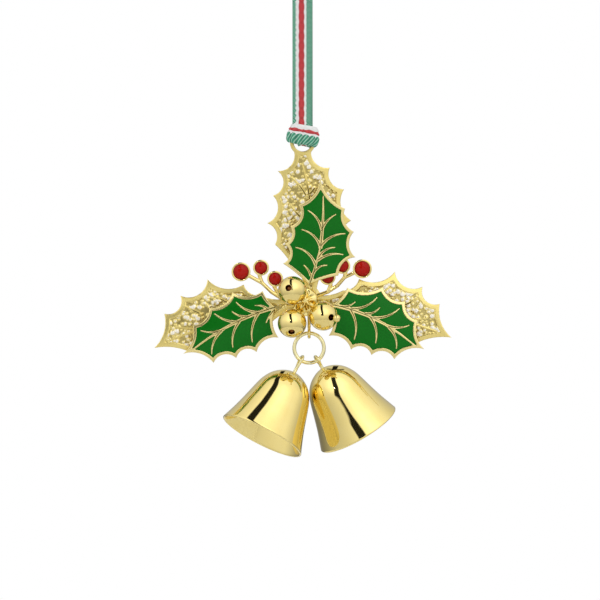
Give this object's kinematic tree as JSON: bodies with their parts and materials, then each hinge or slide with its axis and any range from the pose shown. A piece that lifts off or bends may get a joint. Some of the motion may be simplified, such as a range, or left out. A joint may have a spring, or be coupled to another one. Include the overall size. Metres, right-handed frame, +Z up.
{
  "type": "christmas bell ornament",
  "caption": "Holly spray of gold and green enamelled leaves with berries, hung on a striped ribbon loop, with two small bells on a jump ring below.",
  "frame": {"origin": "under the top of the ribbon loop, where it rests on the hook it hangs from", "axes": "+Z up, -Y to the front (enamel side), +X to the viewer's right"},
  "size_m": [0.0803, 0.0327, 0.1372],
  "materials": {
    "gold_leaf": "polished rim, pebbled field",
    "gold_bright": "mirror polished pale gold plate",
    "green_enamel": "glossy enamel",
    "red_enamel": "glossy enamel",
    "woven_ribbon": "flat woven, striped green, white and red"
  },
  "bodies": {
    "ribbon": {"ribbon_loop": "woven_ribbon", "ribbon_knot": "woven_ribbon"},
    "holly": {"gold_leaf_top": "gold_leaf", "gold_leaf_left": "gold_leaf", "gold_leaf_right": "gold_leaf", "green_leaf_top": "gold_bright", "green_leaf_left": "gold_bright", "green_leaf_right": "gold_bright", "leaf_enamel_top": "green_enamel", "leaf_enamel_left": "green_enamel", "leaf_enamel_right": "green_enamel", "berry_spray_left": "gold_bright", "berry_spray_right": "gold_bright", "berry_enamel_left": "red_enamel", "berry_enamel_right": "red_enamel", "centre_hub": "gold_bright", "hub_eye_pin": "gold_bright", "bead_top": "gold_bright", "bead_left": "gold_bright", "bead_right": "gold_bright", "bead_pins": "gold_bright"},
    "ring": {"jump_ring": "gold_bright"},
    "eye_left": {"bell_eye_left": "gold_bright"},
    "eye_right": {"bell_eye_right": "gold_bright"},
    "shell_left": {"bell_left": "gold_bright"},
    "shell_right": {"bell_right": "gold_bright"},
    "striker_left": {"clapper_left": "gold_bright"},
    "striker_right": {"clapper_right": "gold_bright"}
  },
  "joints": [
    {"name": "holly_swing", "type": "hinge", "parent": "ribbon", "child": "holly", "pos_m": [0, 0, -0.0492], "axis": [1, 0, 0], "range_deg": [-15, 15]},
    {"name": "ring_swing", "type": "hinge", "parent": "holly", "child": "ring", "pos_m": [0.00175, -0.0024, -0.1034], "axis": [0, 1, 0], "range_deg": [-18, 18]},
    {"name": "bell_left_swing", "type": "hinge", "parent": "ring", "child": "eye_left", "pos_m": [-0.00054, -0.0024, -0.11068], "axis": [1, 0, 0], "range_deg": [-20, 20]},
    {"name": "bell_right_swing", "type": "hinge", "parent": "ring", "child": "eye_right", "pos_m": [0.00404, -0.0024, -0.11068], "axis": [1, 0, 0], "range_deg": [-20, 20]},
    {"name": "bell_left_turn", "type": "hinge", "parent": "eye_left", "child": "shell_left", "pos_m": [-0.00054, -0.0024, -0.11068], "axis": [-0.4412, -0.2504, -0.8618], "continuous": true},
    {"name": "bell_right_turn", "type": "hinge", "parent": "eye_right", "child": "shell_right", "pos_m": [0.00404, -0.0024, -0.11068], "axis": [0.497, 0.1908, -0.8465], "continuous": true},
    {"name": "clapper_left_swing", "type": "hinge", "parent": "eye_left", "child": "striker_left", "pos_m": [-0.00379, -0.00424, -0.11701], "axis": [-0.1141, 0.9681, -0.2229], "range_deg": [-3, 55]},
    {"name": "clapper_right_swing", "type": "hinge", "parent": "eye_right", "child": "striker_right", "pos_m": [0.0071, -0.00123, -0.11588], "axis": [-0.0966, 0.9816, 0.1645], "range_deg": [-55, 3]}
  ]
}
